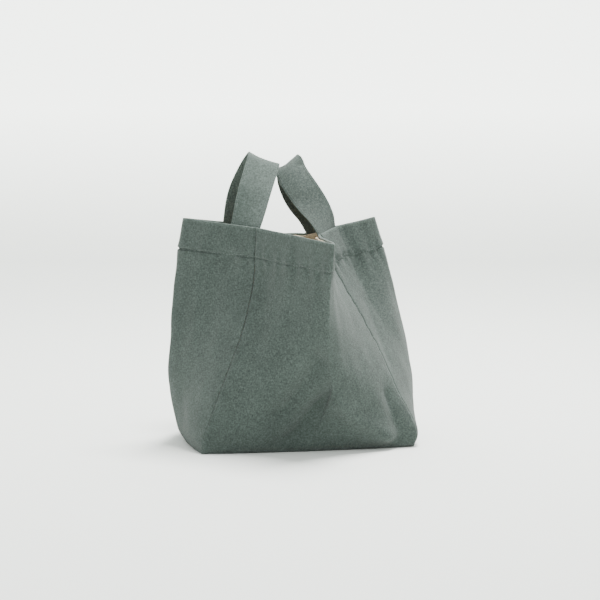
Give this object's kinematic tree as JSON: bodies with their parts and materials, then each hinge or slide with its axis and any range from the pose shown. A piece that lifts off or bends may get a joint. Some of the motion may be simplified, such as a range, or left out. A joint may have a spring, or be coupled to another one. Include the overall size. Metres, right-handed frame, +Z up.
{
  "type": "canvas tote bag",
  "caption": "Small open canvas tote bag that stands on a flat base, with a loose lining, a turned hem and short strap handles.",
  "frame": {"origin": "middle of the bounding box at its lowest level, on the surface that the bag stands on", "axes": "+Z up, the near wide wall faces -Y, the handles are on the narrow walls at -X and +X"},
  "size_m": [0.2518, 0.279, 0.2918],
  "materials": {
    "canvas": "washed matte cotton canvas",
    "lining": "plain undyed cotton"
  },
  "bodies": {
    "root": {"near_panel": "canvas", "far_panel": "canvas", "left_panel": "canvas", "right_panel": "canvas", "base_panel": "canvas", "lining": "lining", "left_handle": "canvas", "right_handle": "canvas"}
  },
  "joints": []
}
